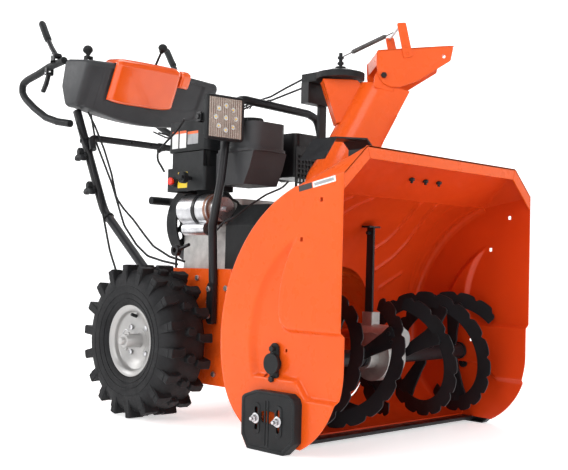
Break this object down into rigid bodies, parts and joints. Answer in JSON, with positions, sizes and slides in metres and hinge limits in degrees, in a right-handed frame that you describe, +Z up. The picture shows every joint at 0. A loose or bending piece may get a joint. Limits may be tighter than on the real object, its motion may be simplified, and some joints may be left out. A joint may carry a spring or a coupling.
{
  "type": "snow blower",
  "caption": "Walk-behind two-stage snow blower with auger housing, impeller, turning chute with deflector, engine, two driven wheels and handles with console.",
  "frame": {"origin": "centre of the machine's overall box, on the ground plane that the tyres and skid shoes rest on", "axes": "+Z up, +Y towards the operator at the handles, -Y the way the machine drives forward, +X the operator's left"},
  "size_m": [0.762, 1.4869, 1.1312],
  "materials": {
    "orange_paint": "gloss powder coat",
    "deep_orange_paint": "gloss powder coat, darker inside",
    "black_paint": "satin powder coat",
    "black_plastic": "fine moulded grain",
    "grey_plastic": "fine moulded grain",
    "orange_plastic": "gloss",
    "red_plastic": "gloss",
    "zinc": "zinc plated",
    "silver_paint": "silver paint",
    "cast_metal": "sand cast",
    "rubber": "matt",
    "tyre": "moulded tread",
    "lens": "ribbed lens over reflectors"
  },
  "bodies": {
    "machine": {"auger_housing": "orange_paint", "side_plate_right": "orange_paint", "side_plate_left": "orange_paint", "impeller_drum": "deep_orange_paint", "scraper_bar": "black_paint", "skid_shoes": "black_plastic", "skid_bolts": "zinc", "auger_bearings": "black_plastic", "housing_brace": "black_paint", "gearbox": "cast_metal", "tractor_frame": "orange_paint", "frame_bolts": "zinc", "belt_cover": "black_plastic", "engine_block": "cast_metal", "recoil_housing": "black_plastic", "intake_cover": "black_plastic", "fuel_tank": "grey_plastic", "muffler": "black_paint", "muffler_guard": "black_paint", "control_box": "black_plastic", "starter_motor": "zinc", "light_bar": "black_paint", "lower_handles": "black_paint", "upper_handles": "black_paint", "handle_crossbar": "black_paint", "wing_knobs": "black_plastic", "console": "grey_plastic", "console_cover": "orange_plastic", "loop_handles": "black_paint", "control_cables": "rubber", "cable_clips": "black_plastic", "shift_rod": "black_paint", "rotator_bracket": "black_paint", "rotator_head": "black_plastic", "drive_belts": "rubber", "hex_shaft": "zinc"},
    "right_wheel": {"tyre_right": "tyre", "wheel_right": "silver_paint"},
    "left_wheel": {"tyre_left": "tyre", "wheel_left": "silver_paint"},
    "auger": {"auger_flights": "black_paint", "auger_shaft": "zinc"},
    "impeller": {"impeller": "deep_orange_paint"},
    "crankshaft": {"crankshaft": "zinc"},
    "chute": {"chute": "orange_paint", "deflector_spring": "zinc"},
    "deflector": {"deflector": "orange_paint"},
    "lamp": {"headlamp": "black_plastic", "headlamp_lens": "lens"},
    "drive_lever": {"drive_lever": "black_plastic"},
    "auger_lever": {"auger_lever": "black_plastic"},
    "right_trigger": {"trigger_right": "black_plastic"},
    "left_trigger": {"trigger_left": "black_plastic"},
    "speed_lever": {"speed_lever": "black_plastic"},
    "deflector_lever": {"deflector_lever": "black_plastic"},
    "choke_knob": {"choke_knob": "black_plastic"},
    "stop_button": {"stop_button": "red_plastic"},
    "fuel_cap": {"fuel_cap": "black_plastic"},
    "recoil_handle": {"recoil_handle": "black_plastic"},
    "cleanout_tool": {"cleanout_tool": "black_paint"}
  },
  "joints": [
    {"name": "right_wheel_spin", "type": "hinge", "parent": "machine", "child": "right_wheel", "pos_m": [-0.285, -0.0275, 0.1905], "axis": [1, 0, 0], "continuous": true},
    {"name": "left_wheel_spin", "type": "hinge", "parent": "machine", "child": "left_wheel", "pos_m": [0.285, -0.0275, 0.1905], "axis": [1, 0, 0], "continuous": true},
    {"name": "auger_spin", "type": "hinge", "parent": "machine", "child": "auger", "pos_m": [0, -0.5555, 0.181], "axis": [1, 0, 0], "continuous": true},
    {"name": "impeller_spin", "type": "hinge", "parent": "machine", "child": "impeller", "pos_m": [0, -0.3275, 0.226], "axis": [0, 1, 0], "continuous": true},
    {"name": "crank_spin", "type": "hinge", "parent": "machine", "child": "crankshaft", "pos_m": [0, -0.0275, 0.485], "axis": [0, 1, 0], "continuous": true},
    {"name": "chute_turn", "type": "hinge", "parent": "machine", "child": "chute", "pos_m": [0, -0.4125, 0.54], "axis": [0, 0, 1], "range_deg": [-145, 45]},
    {"name": "deflector_tilt", "type": "hinge", "parent": "chute", "child": "deflector", "pos_m": [0.07277, -0.47357, 0.85], "axis": [0.6428, 0.766, 0], "range_deg": [-10, 40], "deforming": ["deflector_spring"]},
    {"name": "lamp_tilt", "type": "hinge", "parent": "machine", "child": "lamp", "pos_m": [-0.2128, -0.20661, 0.745], "axis": [0.9945, -0.1045, 0], "range_deg": [-15, 15]},
    {"name": "drive_lever_squeeze", "type": "hinge", "parent": "machine", "child": "drive_lever", "pos_m": [0.24, 0.5325, 1.004], "axis": [1, 0, 0], "range_deg": [-48, 0], "stiffness_Nm_per_rad": 1.5, "springref_deg": 14.32},
    {"name": "auger_lever_squeeze", "type": "hinge", "parent": "machine", "child": "auger_lever", "pos_m": [-0.24, 0.5325, 1.004], "axis": [1, 0, 0], "range_deg": [-48, 0], "stiffness_Nm_per_rad": 1.5, "springref_deg": 14.32},
    {"name": "right_trigger_pull", "type": "hinge", "parent": "machine", "child": "right_trigger", "pos_m": [-0.24, 0.5725, 0.955], "axis": [1, 0, 0], "range_deg": [0, 20], "stiffness_Nm_per_rad": 0.3, "springref_deg": -11.46},
    {"name": "left_trigger_pull", "type": "hinge", "parent": "machine", "child": "left_trigger", "pos_m": [0.24, 0.5725, 0.955], "axis": [1, 0, 0], "range_deg": [0, 20], "stiffness_Nm_per_rad": 0.3, "springref_deg": -11.46},
    {"name": "speed_lever_swing", "type": "hinge", "parent": "machine", "child": "speed_lever", "pos_m": [0.038, 0.4185, 0.99], "axis": [1, 0, 0], "range_deg": [-22, 22]},
    {"name": "deflector_lever_swing", "type": "hinge", "parent": "machine", "child": "deflector_lever", "pos_m": [-0.2, 0.4185, 0.99], "axis": [1, 0, 0], "range_deg": [-18, 18]},
    {"name": "choke_turn", "type": "hinge", "parent": "machine", "child": "choke_knob", "pos_m": [-0.19, -0.0475, 0.61], "axis": [1, 0, 0], "range_deg": [0, 60]},
    {"name": "stop_button_push", "type": "slide", "parent": "machine", "child": "stop_button", "axis": [1, 0, 0], "range_m": [0, 0.003], "stiffness_N_per_m": 400},
    {"name": "fuel_cap_turn", "type": "hinge", "parent": "machine", "child": "fuel_cap", "pos_m": [-0.092, -0.1925, 0.75], "axis": [0, 0, 1], "range_deg": [0, 90]},
    {"name": "recoil_pull", "type": "slide", "parent": "machine", "child": "recoil_handle", "axis": [0, 1, 0], "range_m": [0, 0.5], "stiffness_N_per_m": 30, "springref_m": -0.05},
    {"name": "cleanout_tool_lift", "type": "slide", "parent": "machine", "child": "cleanout_tool", "axis": [0, 0, 1], "range_m": [0, 0.08]}
  ],
  "couplings": [
    {"joint": "impeller_spin", "follows": "auger_spin", "ratio": 10}
  ]
}
